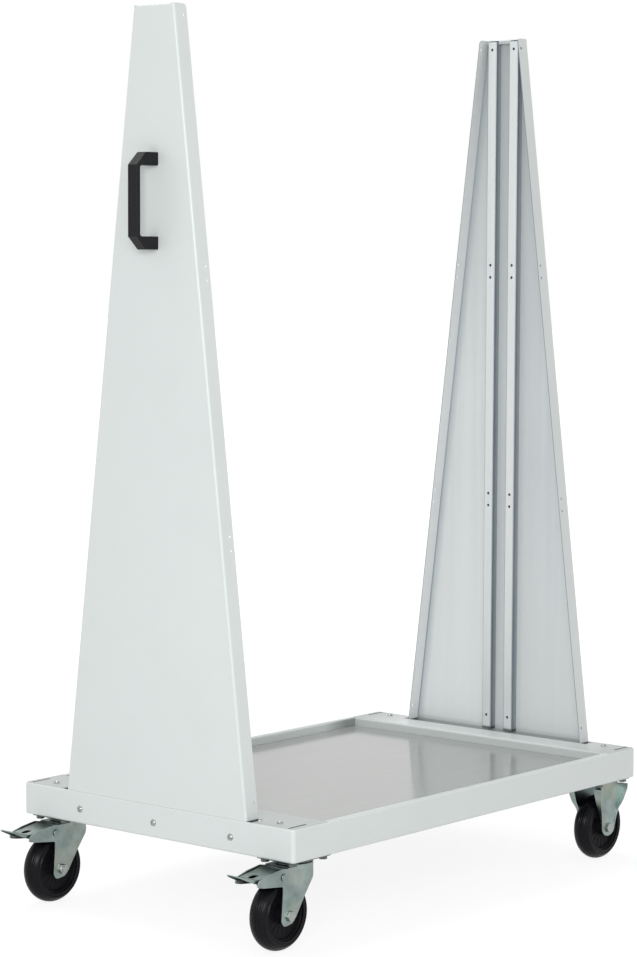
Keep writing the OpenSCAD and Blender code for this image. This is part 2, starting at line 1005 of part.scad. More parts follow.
module pedal_plan_outline() {
    y = pedal_w / 2;
    bend = pedal_bend_w / 2;
    tip = pedal_tip_w / 2;
    polygon(rounded([
        [pedal_end_x + cut, -y, 0], [pedal_end_x + cut, y, 0],
        [pedal_neck_x, y, 6], [pedal_bend_x, bend, 12], [-pedal_reach, tip, 9],
        [-pedal_reach, -tip, 9], [pedal_bend_x, -bend, 12], [pedal_neck_x, -y, 6]]));
}

module brake_pedal(left) {
    y = pedal_w / 2;
    color("lightsteelblue")
        at_swivel(left)
            difference() {
                intersection() {
                    union() {
                        across(-y, y)
                            pedal_sheet_outline();
                        both_sides()
                            across(y - pedal_t, y)
                                pedal_cheek_outline();
                    }
                    translate([0, 0, -castor_h])
                        linear_extrude(castor_h)
                            pedal_plan_outline();
                }
                translate([rivet_x, 0, rivet_z])
                    bar_y(rivet_d / 2 + run_gap, -y - cut, y + cut);
                translate([pedal_bend_x + 14, 0, pedal_bend_z - 10])
                    linear_extrude(20)
                        polygon(rounded([[-10, -6, 5.5], [10, -6, 5.5], [10, 6, 5.5], [-10, 6, 5.5]]));
            }
}

// A shoe below the pedal's top, hollowed to the tyre
module brake_shoe(left) {
    x0 = rivet_x - 24;
    x1 = rivet_x - 7;
    color("dimgray")
        at_swivel(left)
            difference() {
                across(-tyre_w / 2 + 4, tyre_w / 2 - 4)
                    polygon([
                        [x0, pedal_top(x0) - pedal_t], [x1, pedal_top(x1) - pedal_t],
                        [x1, axle_z], [x0, axle_z + 30]]);
                translate([axle_x, 0, axle_z])
                    bar_y(wheel_r + shoe_gap, -tyre_w, tyre_w);
                translate([x0 - cut, -tyre_w, axle_z - cut])
                    cube([x1 - x0 + 2 * cut, 2 * tyre_w, tyre_top - axle_z - 18]);
            }
}

// A fixed fork's cheek is narrow beside the nuts, wide below them and tapers to the leg.
// Each step is a share of the height from the nuts to the axle, and of the taper that is left there.
fixed_neck = (plate_hole_x - m8_flats / cos(30)) / 2 - 2;
fixed_steps = [[0.024, 1], [0.144, 0.96], [0.41, 0.65], [0.59, 0.31], [0.76, 0.15], [1, 0]];
function fixed_z(step) = fork_top + (axle_z - fork_top) * step[0];
function fixed_half(step) = (fixed_leg_w + (fixed_top_w - fixed_leg_w) * step[1]) / 2;
fixed_cheek = concat(
    [[fixed_neck, -plate_t], [fixed_neck, fork_top]],
    [for (step = fixed_steps) [fixed_half(step), fixed_z(step)]]);
fixed_edge = concat(
    [[-cheek_out, fork_top]],
    [for (step = fixed_steps) [-cheek_out - fixed_flare * step[1], fixed_z(step)]]);

module fixed_cheek_outline() {
    polygon(concat(
        [for (p = fixed_cheek) [p[0], p[1]]],
        [for (a = [0:-20:-180]) [fixed_leg_w / 2 * cos(a), axle_z + leg_r * sin(a)]],
        [for (i = [len(fixed_cheek) - 1:-1:0]) [-fixed_cheek[i][0], fixed_cheek[i][1]]]));
}

module fixed_edge_flange() {
    n = len(fixed_cheek);
    intersection() {
        across(-plate_w / 2, -cheek_in)
            polygon(concat(
                fixed_cheek,
                [for (i = [n - 1:-1:0]) [fixed_cheek[i][0] - fork_t, fixed_cheek[i][1]]]));
        along(0, plate_l / 2)
            polygon(concat(fixed_edge, [[-cheek_in, axle_z], [-cheek_in, fork_top]]));
    }
}

module fixed_fork(left) {
    color("lightsteelblue")
        at_fixed(left)
            difference() {
                union() {
                    plate_blank();
                    both_sides() {
                        across(-cheek_out, -cheek_in)
                            fixed_cheek_outline();
                        fixed_edge_flange();
                        mirror([1, 0, 0])
                            fixed_edge_flange();
                    }
                }
                translate([0, 0, axle_z])
                    bar_y(axle_d / 2 + snug, -cheek_out - cut, cheek_out + cut);
            }
}

module axle_bolt() {
    color("silver") {
        bar_y(axle_d / 2, -cheek_out - cut / 2, cheek_out + axle_nut_h + thread_end);
        translate([0, -cheek_out - axle_head_h, 0])
            rotate([-90, 0, 0])
                hexagon(axle_flats, axle_head_h);
    }
}

module axle_nut() {
    color("silver")
        translate([0, cheek_out, 0])
            rotate([-90, 0, 0])
                hex_nut(axle_flats, axle_nut_h, axle_d);
}

module axle_bush() {
    reach = cheek_in - snug;
    color("silver")
        difference() {
            bar_y(bush_d / 2, -reach, reach);
            bar_y(axle_d / 2 + snug, -reach - cut, reach + cut);
        }
}

module wheel_centre() {
    boss_r = bush_d / 2 + 7;
    boss_l = fork_gap - 2;
    rim_t = 4;
    outside = rim_r - snug;
    ribs = 8;
    color("black")
        difference() {
            union() {
                bar_y(boss_r, -boss_l / 2, boss_l / 2);
                bar_y(outside, -2.5, 2.5);
                difference() {
                    bar_y(outside, 3 - tyre_w / 2, tyre_w / 2 - 3);
                    bar_y(outside - rim_t, -tyre_w, tyre_w);
                }
                for (i = [0:ribs - 1])
                    rotate([0, i * 360 / ribs, 0])
                        translate([boss_r - 1, 5 - tyre_w / 2, -1.5])
                            cube([outside - boss_r - rim_t / 2, tyre_w - 10, 3]);
            }
            bar_y(bush_d / 2 + run_gap, -boss_l, boss_l);
        }
}

module tyre() {
    bead_r = rim_r + 6;
    color("#181818")
        rotate([90, 0, 0])
            rotate_extrude()
                difference() {
                    intersection() {
                        translate([rim_r, -tyre_w / 2])
                            square([wheel_r - rim_r, tyre_w]);
                        translate([wheel_r - crown_r, 0])
                            circle(crown_r);
                    }
                    for (s = [0, 1])
                        mirror([0, s])
                            translate([bead_r - 2.5, tyre_w / 2 + 0.8])
                                circle(2.5);
                }
}

module right_swivel_plate() {
    swivel_plate(false);
}

module right_kingpin() {
    kingpin(false);
}

module right_kingpin_nut() {
    kingpin_nut(false);
}

module right_swivel_balls() {
    swivel_balls(false);
}

module right_swivel_fork() {
    swivel_fork(false);
}

module right_pedal_rivet() {
    pedal_rivet(false);
}

module right_brake_pedal() {
    brake_pedal(false);
}

module right_brake_shoe() {
    brake_shoe(false);
}

module right_swivel_axle_bolt() {
    at_swivel_axle(false)
        axle_bolt();
}

module right_swivel_axle_nut() {
    at_swivel_axle(false)
        axle_nut();
}

module right_swivel_bush() {
    at_swivel_axle(false)
        axle_bush();
}

module right_swivel_wheel_centre() {
    at_swivel_axle(false)
        wheel_centre();
}

module right_swivel_tyre() {
    at_swivel_axle(false)
        tyre();
}

module left_swivel_plate() {
    swivel_plate(true);
}

module left_kingpin() {
    kingpin(true);
}

module left_kingpin_nut() {
    kingpin_nut(true);
}

module left_swivel_balls() {
    swivel_balls(true);
}

module left_swivel_fork() {
    swivel_fork(true);
}

module left_pedal_rivet() {
    pedal_rivet(true);
}

module left_brake_pedal() {
    brake_pedal(true);
}

module left_brake_shoe() {
    brake_shoe(true);
}

module left_swivel_axle_bolt() {
    at_swivel_axle(true)
        axle_bolt();
}

module left_swivel_axle_nut() {
    at_swivel_axle(true)
        axle_nut();
}

module left_swivel_bush() {
    at_swivel_axle(true)
        axle_bush();
}

module left_swivel_wheel_centre() {
    at_swivel_axle(true)
        wheel_centre();
}

module left_swivel_tyre() {
    at_swivel_axle(true)
        tyre();
}

module right_fixed_fork() {
    fixed_fork(false);
}

module right_fixed_axle_bolt() {
    at_fixed_axle(false)
        axle_bolt();
}

module right_fixed_axle_nut() {
    at_fixed_axle(false)
        axle_nut();
}

module right_fixed_bush() {
    at_fixed_axle(false)
        axle_bush();
}

module right_fixed_wheel_centre() {
    at_fixed_axle(false)
        wheel_centre();
}

module right_fixed_tyre() {
    at_fixed_axle(false)
        tyre();
}

module left_fixed_fork() {
    fixed_fork(true);
}

module left_fixed_axle_bolt() {
    at_fixed_axle(true)
        axle_bolt();
}

module left_fixed_axle_nut() {
    at_fixed_axle(true)
        axle_nut();
}

module left_fixed_bush() {
    at_fixed_axle(true)
        axle_bush();
}

module left_fixed_wheel_centre() {
    at_fixed_axle(true)
        wheel_centre();
}

module left_fixed_tyre() {
    at_fixed_axle(true)
        tyre();
}

handle_end_member();
far_end_member();
right_side_rail();
left_side_rail();
tray_floor();
handle_end_bearer();
far_end_bearer();
corner_bolts();
corner_nuts();
castor_bolts();
castor_nuts();
handle_end_panel();
far_end_panel();
handle_end_right_post();
handle_end_left_post();
far_end_right_post();
far_end_left_post();
panel_foot_bolts();
panel_foot_nuts();
push_handle();
handle_screws();
right_swivel_plate();
right_kingpin();
right_kingpin_nut();
right_swivel_balls();
right_swivel_fork();
right_pedal_rivet();
right_brake_pedal();
right_brake_shoe();
right_swivel_axle_bolt();
right_swivel_axle_nut();
right_swivel_bush();
right_swivel_wheel_centre();
right_swivel_tyre();
left_swivel_plate();
left_kingpin();
left_kingpin_nut();
left_swivel_balls();
left_swivel_fork();
left_pedal_rivet();
left_brake_pedal();
left_brake_shoe();
left_swivel_axle_bolt();
left_swivel_axle_nut();
left_swivel_bush();
left_swivel_wheel_centre();
left_swivel_tyre();
right_fixed_fork();
right_fixed_axle_bolt();
right_fixed_axle_nut();
right_fixed_bush();
right_fixed_wheel_centre();
right_fixed_tyre();
left_fixed_fork();
left_fixed_axle_bolt();
left_fixed_axle_nut();
left_fixed_bush();
left_fixed_wheel_centre();
left_fixed_tyre();
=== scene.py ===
import json
import math
import bmesh
import bpy
from mathutils import Matrix, Vector


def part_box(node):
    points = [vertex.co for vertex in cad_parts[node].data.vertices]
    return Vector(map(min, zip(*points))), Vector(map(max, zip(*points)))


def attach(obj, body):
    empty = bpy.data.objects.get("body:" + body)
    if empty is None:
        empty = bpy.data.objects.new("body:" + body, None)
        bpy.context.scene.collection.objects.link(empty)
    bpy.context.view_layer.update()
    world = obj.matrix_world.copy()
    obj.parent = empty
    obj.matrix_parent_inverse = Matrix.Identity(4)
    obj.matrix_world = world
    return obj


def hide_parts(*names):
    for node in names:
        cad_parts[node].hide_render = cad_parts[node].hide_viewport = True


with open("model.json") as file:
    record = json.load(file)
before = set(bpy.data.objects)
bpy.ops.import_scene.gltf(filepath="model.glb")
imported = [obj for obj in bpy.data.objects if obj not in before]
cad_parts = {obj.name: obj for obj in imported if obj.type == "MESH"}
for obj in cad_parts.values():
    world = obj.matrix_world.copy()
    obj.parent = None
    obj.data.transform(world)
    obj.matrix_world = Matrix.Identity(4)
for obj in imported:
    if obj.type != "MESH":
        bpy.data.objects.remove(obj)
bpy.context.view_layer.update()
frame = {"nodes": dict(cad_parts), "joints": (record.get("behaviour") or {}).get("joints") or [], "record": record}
nodes = frame["nodes"]
joints = {joint["name"]: joint for joint in frame["joints"]}
scene = bpy.context.scene
mm = 0.001
tiny = 0.005 * mm  # points that are closer than this are one
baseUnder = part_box("right_side_rail")[0].z  # the castors' plates are bolted up to this height
castorAside = joints["left_swivel_turn"]["pos_m"][1] / mm
pivots = {side: Vector((*joints[f"{side}_swivel_turn"]["pos_m"][:2], baseUnder))
          for side in ("right", "left")}  # the point right under the base that each swivel castor turns about


# Shader maths: a socket that can be used in sums
class Wire:
    def __init__(self, paint, socket):
        self.paint = paint
        self.socket = socket

    def __add__(self, other):
        return self.paint.maths("ADD", self, other)

    def __radd__(self, other):
        return self.paint.maths("ADD", other, self)

    def __sub__(self, other):
        return self.paint.maths("SUBTRACT", self, other)

    def __rsub__(self, other):
        return self.paint.maths("SUBTRACT", other, self)

    def __mul__(self, other):
        return self.paint.maths("MULTIPLY", self, other)

    def __rmul__(self, other):
        return self.paint.maths("MULTIPLY", other, self)

    def __gt__(self, other):
        return self.paint.maths("GREATER_THAN", self, other)

    def __lt__(self, other):
        return self.paint.maths("LESS_THAN", self, other)


# One node tree and the few nodes that the finishes are made with
class Paint:
    def __init__(self, holder, **fixed):
        holder.use_nodes = True
        self.holder = holder
        self.tree = holder.node_tree
        self.surface = self.tree.nodes.get("Principled BSDF")
        self.place = self.add("ShaderNodeTexCoord", output="Object")
        for socket, value in fixed.items():
            self.surface.inputs[socket.replace("_", " ")].default_value = value

    def add(self, kind, settings={}, values={}, output=0):
        node = self.tree.nodes.new(kind)
        for name, value in settings.items():
            setattr(node, name, value)
        for key, value in values.items():
            if isinstance(value, Wire):
                self.tree.links.new(value.socket, node.inputs[key])
            else:
                node.inputs[key].default_value = value
        return Wire(self, node.outputs[output])

    def stretch(self, x, y, z):
        return self.add("ShaderNodeMapping", {}, {"Vector": self.place, "Scale": (x, y, z)})

    def noise(self, scale, detail=2, roughness=0.5, where=None):
        values = {"Vector": where or self.place, "Scale": scale, "Detail": detail, "Roughness": roughness}
        return self.add("ShaderNodeTexNoise", {}, values)

    def cells(self, scale, where=None):
        return self.add("ShaderNodeTexVoronoi", {}, {"Vector": where or self.place, "Scale": scale})

    def spread(self, value, low, high):  # low to high becomes 0 to 1, and the rest is cut off
        return self.add("ShaderNodeMapRange", {}, {"Value": value, "From Min": low, "From Max": high})

    def blend(self, factor, first, second):
        return self.add("ShaderNodeMix", {"data_type": "RGBA"}, {0: factor, 6: first, 7: second}, output=2)

    def bump(self, height, strength, depth):  # depth in millimetres
        values = {"Height": height, "Strength": strength, "Distance": depth * mm}
        return self.add("ShaderNodeBump", {}, values)

    def part(self, vector, axis):
        return self.add("ShaderNodeSeparateXYZ", {}, {0: vector}, output=axis)

    def maths(self, operation, first, second=0):
        return self.add("ShaderNodeMath", {"operation": operation}, {0: first, 1: second})

    def facing(self, axis):  # how far a face looks along an axis
        return self.part(self.add("ShaderNodeNewGeometry", output="Normal"), axis)

    def side(self, axis):  # -1 or 1: the side of the object's middle that a place is on
        return self.maths("SIGN", self.part(self.place, axis))

    def inward(self, axis):  # how far a face looks at the middle of the object along an axis
        return 0 - self.facing(axis) * self.side(axis)

    def lengths(self):  # place along each axis in millimetres, without its sign for the second
        x, y, z = (self.part(self.place, axis) * (1 / mm) for axis in range(3))
        return x, self.maths("ABSOLUTE", y), z

    def seen(self):  # 1 for the rays that show a surface to the camera or in a reflection
        paths = [self.add("ShaderNodeLightPath", output=f"Is {kind} Ray")
                 for kind in ("Camera", "Glossy", "Transmission")]
        return self.maths("MAXIMUM", paths[0], self.maths("MAXIMUM", paths[1], paths[2]))

    def put(self, **links):
        for socket, value in links.items():
            self.tree.links.new(value.socket, self.surface.inputs[socket.replace("_", " ")])
        return self.holder


def shade(screen):  # screen values from 0 to 255 as a shader colour
    return tuple(round(((c / 255 + 0.055) / 1.055) ** 2.4, 4) for c in screen) + (1,)


def newPaint(name, **fixed):
    return Paint(bpy.data.materials.new(name), **fixed)


# Lengths of the base, in millimetres, which the finishes place their painted shade and light by
base = {"middle": 44, "half": 510, "top": 215, "flange": 92}


def endDistance(x):  # millimetres from the nearer end of the base
    return base["half"] - x.paint.maths("ABSOLUTE", x - base["middle"])


def within(value, low, high):  # 1 between low and high, and 0 outside
    return (value > low) * (high > value)


# Light grey powder coat with a fine peel
coat = {"dark": (215, 221, 220), "light": (221, 227, 225), "smudge": (196, 200, 198), "smudged": 0.08,
        "rough": 0.3, "peel": 620, "peelStrength": 0.14, "peelDeep": 0.2}


def coatParts(paint):
    cloud = paint.noise(2.5, 3)
    smudge = paint.spread(paint.noise(9, 4, 0.6), 0.5, 0.78)
    scuff = paint.spread(paint.noise(90, 3, 0.6, paint.stretch(1, 1, 0.05)), 0.66, 0.74)
    colour = paint.blend(cloud, shade(coat["dark"]), shade(coat["light"]))
    colour = paint.blend(smudge * coat["smudged"], colour, shade(coat["smudge"]))
    rough = coat["rough"] + 0.06 * cloud + 0.07 * smudge + 0.06 * scuff
    return colour, rough, paint.noise(coat["peel"], 2, 0.45)


# Narrow gaps of the base that get painted shade, near black: slits at the corners and slots at the panels' feet
shadedGaps = {"slitFrom": 5, "slitTo": 50, "slitIn": 303, "slitOut": 307.6, "slitDeep": 6,
        "slotFrom": 2.2, "slotTo": 34, "slotHalf": 226.5, "slotDeep": 8, "slotUnder": 0.3,
        "shade": (52, 56, 56)}

# Painted shade: shares of a darker grey on faces that look up and on inner lips, and a painted shadow on the
# rails' inner sides near the ends
paintedShade = {"tops": (168, 174, 173), "sides": 0.3, "handleEnd": 0.85, "farMiddle": 0.2, "farCorners": 0.9,
        "cornerFrom": 200, "cornerTo": 300, "lips": 0.4,
        "shadow": (112, 118, 116), "shadowShare": 0.75, "shadowFrom": 122, "shadowTo": 190}


def makePowderCoat():
    paint = newPaint("lightGreyPowderCoat", IOR=1.5)
    colour, rough, peel = coatParts(paint)
    x, y, z = paint.lengths()
    fromEnd = endDistance(x)
    # painted shade: the slits at the corners and the slots at the panels' feet are painted near black
    slit = within(fromEnd, shadedGaps["slitFrom"], shadedGaps["slitTo"]) * within(y, shadedGaps["slitIn"], shadedGaps["slitOut"])
    slit = slit * (z > base["top"] - shadedGaps["slitDeep"])
    slot = within(fromEnd, shadedGaps["slotFrom"], shadedGaps["slotTo"]) * (shadedGaps["slotHalf"] > y)
    slot = slot * within(z, base["top"] - shadedGaps["slotDeep"], base["top"] - shadedGaps["slotUnder"])
    dark = paint.maths("MAXIMUM", slit, slot)
    # painted shadow on the rails' inner sides next to the end flanges
    shadow = (1 - paint.spread(fromEnd, paintedShade["shadowFrom"], paintedShade["shadowTo"])) * (fromEnd > base["flange"])
    shadow = shadow * (paint.inward(1) > 0.6)
    # painted shade: faces that look up are greyed, most at the handle end and the far corners, and so are the
    # inner lips
    upward = paint.spread(paint.facing(2), 0.6, 0.95)
    atEnd, atHandle = base["flange"] > fromEnd, base["middle"] > x
    outside = paint.spread(y, paintedShade["cornerFrom"], paintedShade["cornerTo"])
    farEnd = paintedShade["farMiddle"] - paintedShade["sides"] + (paintedShade["farCorners"] - paintedShade["farMiddle"]) * outside
    handleEnd = (paintedShade["handleEnd"] - paintedShade["sides"]) * atHandle
    topShadeShare = paintedShade["sides"] + atEnd * (handleEnd + (1 - atHandle) * farEnd)
    lip = (paint.inward(0) > 0.6) * (fromEnd > shadedGaps["slotTo"])
    tops = paint.maths("MAXIMUM", upward * topShadeShare, lip * paintedShade["lips"])
    colour = paint.blend(shadow * paintedShade["shadowShare"], colour, shade(paintedShade["shadow"]))
    colour = paint.blend(tops, colour, shade(paintedShade["tops"]))
    colour = paint.blend(dark * 0.95, colour, shade(shadedGaps["shade"]))
    return paint.put(Base_Color=colour, Roughness=rough + 0.3 * dark,
                     Normal=paint.bump(peel, coat["peelStrength"], coat["peelDeep"]))


# Galvanised sheet, rolled along its length, with faint spangle and bluish streaks
zinc = {"dark": (216, 221, 221), "light": (229, 233, 232), "streak": (188, 199, 203), "streaked": 0.22,
        "spangle": 110, "spangled": 0.08, "metal": 0.45, "rough": 0.32, "grain": 300}

# Colours of painted shade and light on bare zinc: bluish, deep and dull shade in the folds, beside and between the
# posts, at the top and the feet, and pale painted light low down and on the flanges' inner faces
zincShading = {"bluish": (126, 138, 150), "deep": (92, 104, 128), "dull": (138, 145, 144),
             "pale": (240, 244, 244), "folded": (238, 241, 240), "foot": (58, 62, 64)}


def zincParts(paint):
    rolled = paint.noise(26, 4, 0.55, paint.stretch(1, 1, 0.03))
    streak = paint.spread(paint.noise(60, 3, 0.5, paint.stretch(1, 1, 0.02)), 0.45, 0.75)
    spangle = paint.cells(zinc["spangle"], paint.stretch(1, 1, 0.4))
    colour = paint.blend(rolled, shade(zinc["dark"]), shade(zinc["light"]))
    colour = paint.blend(streak * zinc["streaked"], colour, shade(zinc["streak"]))
    colour = paint.blend(paint.spread(spangle, 0.2, 0.9) * zinc["spangled"], colour, shade(zinc["streak"]))
    return colour, zinc["rough"] + 0.12 * rolled + 0.04 * spangle


def putSheet(paint, colour, rough):
    return paint.put(Base_Color=colour, Roughness=rough,
                     Normal=paint.bump(paint.noise(zinc["grain"]), 0.08, 0.2))


def makeGalvanised():
    paint = newPaint("galvanisedSheet", Metallic=zinc["metal"])
    return putSheet(paint, *zincParts(paint))


# Posts: their place aside and half width, and where their painted shade starts and ends, in millimetres
post = {"aside": 26, "half": 11, "frontFrom": 8, "frontTo": 14, "frontShare": 0.15,
        "rimFrom": -2.8, "rimTo": -1, "footFrom": 3, "footTo": 7}


def postSide(y):  # millimetres from the side of a post, less than 0 on the post
    return y.paint.maths("ABSOLUTE", y - post["aside"]) - post["half"]


def makePostFinish():
    # painted shade: the posts' sides are dark and bluish, their folds dull and their feet dark
    paint = newPaint("galvanisedPost", Metallic=zinc["metal"])
    colour, rough = zincParts(paint)
    x, y, z = paint.lengths()
    sideways = paint.spread(paint.maths("ABSOLUTE", paint.facing(1)), 0.3, 0.8)
    deeper = paint.spread(endDistance(x), post["frontFrom"], post["frontTo"])
    front = post["frontShare"] + (1 - post["frontShare"]) * deeper
    rim = paint.spread(postSide(y), post["rimFrom"], post["rimTo"])
    foot = 1 - paint.spread(z, base["top"] + post["footFrom"], base["top"] + post["footTo"])
    uneven = 0.35 + 0.5 * paint.noise(4, 2, 0.5, paint.stretch(1, 1, 1.6))
    colour = paint.blend(rim * 0.75, colour, shade(zincShading["dull"]))
    colour = paint.blend(sideways * uneven * front, colour, shade(zincShading["deep"]))
    colour = paint.blend(foot * 0.85, colour, shade(zincShading["foot"]))
    return putSheet(paint, colour, rough)


# Panels: half their width at the foot and the top, and where the painted shade and light inside them lie, in
# millimetres
panel = {"foot": 213.5, "top": 46.5, "topAt": 1589, "fold": 2, "creaseTo": 4.5, "fadeTo": 20, "line": 2.5,
         "nearFrom": -60, "nearTo": 20, "footFrom": 1, "footTo": 10, "highFrom": 900,
         "lowFrom": 300, "lowTo": 750, "metal": 0.06}


def makePanelFinish():
    # powder coat outside and bare galvanised sheet inside the folds, with painted shade and painted light on the
    # bare sheet
    paint = newPaint("panelCoatAndZinc", IOR=1.5)
    faceIn, sideIn = paint.inward(0), paint.inward(1)
    inside = paint.maths("MAXIMUM", faceIn, sideIn) > 0.3
    coatColour, coatRough, peel = coatParts(paint)
    bare, zincRough = zincParts(paint)
    y, z = paint.lengths()[1:]
    lean = (panel["foot"] - panel["top"]) / (panel["topAt"] - base["top"])
    toFold = panel["foot"] - lean * (z - base["top"]) - y
    onWeb = faceIn > 0.15
    fold = (1 - paint.spread(toFold, panel["fold"], panel["fadeTo"])) * onWeb
    crease = (1 - paint.spread(toFold, panel["fold"], panel["creaseTo"])) * onWeb
    contact = (1 - paint.spread(postSide(y), 0, panel["line"])) * onWeb
    between = (post["aside"] - post["half"] > y) * onWeb
    nearer = 1 - paint.spread(paint.part(paint.place, 1) * (1 / mm), panel["nearFrom"], panel["nearTo"])
    foot = (1 - paint.spread(z, base["top"] + panel["footFrom"], base["top"] + panel["footTo"])) * onWeb
    high = paint.spread(z, panel["highFrom"], panel["topAt"])
    lower = 1 - paint.spread(z, panel["lowFrom"], panel["lowTo"])
    lines = paint.maths("MAXIMUM", contact * 0.4, crease)
    # painted light low down and on the flanges' inner faces; painted shade at the top, on the nearer half, in the
    # folds, between and beside the posts and at the foot
    steps = [(lower * 0.6, "pale"), (high * 0.42, "dull"), (nearer * (0.22 - 0.08 * lower), "bluish"),
             ((sideIn > 0.5) * 0.7, "folded"), (fold * 0.4, "bluish"), (between * 0.12, "bluish"),
             (lines * 0.55, "deep"), (foot * 0.35, "dull")]
    for share, mark in steps:
        bare = paint.blend(share, bare, shade(zincShading[mark]))
    colour = paint.blend(inside, coatColour, bare)
    # painted shade on the panel's foot below the top of the base
    below = (base["top"] - shadedGaps["slotUnder"] > z) * (faceIn > -0.5)
    colour = paint.blend(below * (0.9 - 0.6 * onWeb), colour, shade(shadedGaps["shade"]))
    return paint.put(Base_Color=colour, Metallic=inside * panel["metal"],
                     Roughness=coatRough + inside * (zincRough - coatRough),
                     Normal=paint.bump(peel * (1 - 0.7 * inside), coat["peelStrength"], coat["peelDeep"]))


# Bright sheet of the tray, with fine rolling marks along the base
sheet = {"dark": (158, 160, 158), "light": (166, 168, 165), "metal": 0.15, "ior": 1.32, "rough": 0.1}


def makeTraySheet():
    paint = newPaint("brightTraySheet", Metallic=sheet["metal"], IOR=sheet["ior"])
    rolled = paint.noise(30, 4, 0.55, paint.stretch(0.04, 1, 1))
    hair = paint.noise(700, 2, 0.5, paint.stretch(0.02, 1, 1))
    smudge = paint.spread(paint.noise(6, 4, 0.6), 0.45, 0.8)
    colour = paint.blend(rolled, shade(sheet["dark"]), shade(sheet["light"]))
    return paint.put(Base_Color=colour, Roughness=sheet["rough"] + 0.04 * rolled + 0.07 * smudge,
                     Normal=paint.bump(hair, 0.02, 0.1))


# Zinc plate of the castors, with a yellowish tint in places and painted shade between a fork's cheeks
plate = {"dark": (118, 134, 132), "light": (160, 171, 167), "tint": (164, 160, 140), "tinted": 0.45,
         "cheekShade": (46, 60, 70), "hollowed": 0.6, "hollowFrom": -525, "hollowTo": -490, "rough": 0.2}


def makeZincPlate():
    paint = newPaint("bluishZincPlate", Metallic=1.0)
    cloud = paint.noise(28, 4, 0.6)
    fine = paint.noise(240, 3, 0.55)
    tint = paint.spread(paint.noise(16, 3, 0.6), 0.48, 0.66)
    x, y = paint.lengths()[:2]
    # painted shade on the faces that look inward between a fork's cheeks
    outward = paint.facing(1) * paint.side(1)
    cheekShade = outward * paint.maths("SIGN", y - castorAside) < -0.4
    cheekShade = cheekShade * paint.spread(x, plate["hollowFrom"], plate["hollowTo"])
    colour = paint.blend(paint.spread(cloud, 0.3, 0.7), shade(plate["dark"]), shade(plate["light"]))
    colour = paint.blend(tint * plate["tinted"], colour, shade(plate["tint"]))
    colour = paint.blend(cheekShade * plate["hollowed"], colour, shade(plate["cheekShade"]))
    return paint.put(Base_Color=colour, Roughness=plate["rough"] + 0.2 * cloud + 0.06 * fine,
                     Normal=paint.bump(fine, 0.1, 0.25))


# Zinc of the fasteners: bright on most, and a darker, duller copy as painted shade on the plates and nuts right
# below the base
fasteners = {
    "brightZincFastener": {"dark": (140, 146, 144), "light": (176, 180, 177), "metal": 1.0, "cloud": 90,
                           "rough": 0.16, "grain": 900, "strength": 0.06},
    "shadedZincFastener": {"dark": (84, 90, 92), "light": (112, 118, 118), "metal": 0.8, "cloud": 70,
                         "rough": 0.36, "grain": 600, "strength": 0.08}}


def makeFastenerZinc(name):
    look = fasteners[name]
    paint = newPaint(name, Metallic=look["metal"])
    cloud = paint.noise(look["cloud"], 3, 0.6)
    colour = paint.blend(cloud, shade(look["dark"]), shade(look["light"]))
    return paint.put(Base_Color=colour, Roughness=look["rough"] + 0.16 * cloud,
                     Normal=paint.bump(paint.noise(look["grain"]), look["strength"], 0.1))


# The black materials differ in colour, gloss, roughness and the size of their grain. All are a little blue
blacks = {
    "handle_plastic": {"name": "grainedBlackPlastic", "dark": 15, "light": 21, "dust": 30, "gloss": 0.22,
                       "rough": 0.4, "grain": 1300, "strength": 0.22},
    "tyre_rubber": {"name": "blackTyreRubber", "dark": 13, "light": 18, "dust": 30, "gloss": 0.12,
                    "rough": 0.22, "grain": 420, "strength": 0.12},
    "wheel_plastic": {"name": "blackWheelPlastic", "dark": 16, "light": 21, "dust": 26, "gloss": 0.1,
                      "rough": 0.42, "grain": 800, "strength": 0.1},
    "brake_rubber": {"name": "brakeShoeRubber", "dark": 26, "light": 38, "dust": 60, "gloss": 0.3,
                     "rough": 0.62, "grain": 500, "strength": 0.2}}


def makeBlack(look):
    paint = newPaint(look["name"], IOR=1.5, Specular_IOR_Level=look["gloss"])
    cloud = paint.noise(30, 4, 0.6)
    dust = paint.spread(paint.noise(70, 5, 0.7), 0.52, 0.8)
    grain = paint.cells(look["grain"])
    low, high, dusty = look["dark"], look["light"], look["dust"]
    colour = paint.blend(cloud, shade((low, low, low + 3)), shade((high, high, high + 4)))
    colour = paint.blend(dust * 0.35, colour, shade((dusty, dusty, dusty)))
    return paint.put(Base_Color=colour, Roughness=look["rough"] + 0.12 * cloud + 0.1 * dust,
                     Normal=paint.bump(grain, look["strength"], 0.2))


# A finish for each material slot, and finishes of their own for nodes whose names end so
finishes = {"painted_steel": makePowderCoat(), "galvanised_steel": makeGalvanised(),
            "tray_sheet": makeTraySheet(), "zinc_steel": makeZincPlate(),
            "bolt_steel": makeFastenerZinc("brightZincFastener")}
for slotName, look in blacks.items():
    finishes[slotName] = makeBlack(look)
ownFinishes = {"panel": makePanelFinish(), "post": makePostFinish(), "rivet": finishes["zinc_steel"]}
# a darker copy of the zinc as painted shade for the parts right below the base
shadedZinc = makeFastenerZinc("shadedZincFastener")
for nameEnd in ("castor_bolts", "castor_nuts", "kingpin", "kingpin_nut", "swivel_plate"):
    ownFinishes[nameEnd] = shadedZinc
slotOf = {part["node"]: part["material_slot"] for part in frame["record"]["subparts"]}


def finishOf(nodeName):
    own = [finish for nameEnd, finish in ownFinishes.items() if nodeName.endswith(nameEnd)]
    return own[0] if own else finishes[slotOf[nodeName]]


for nodeName in slotOf:
    slots = nodes[nodeName].data.materials
    if not slots:
        slots.append(None)
    for i in range(len(slots)):
        slots[i] = finishOf(nodeName)
print("finishes done")

modelled = set()  # the CAD nodes that have a piece already


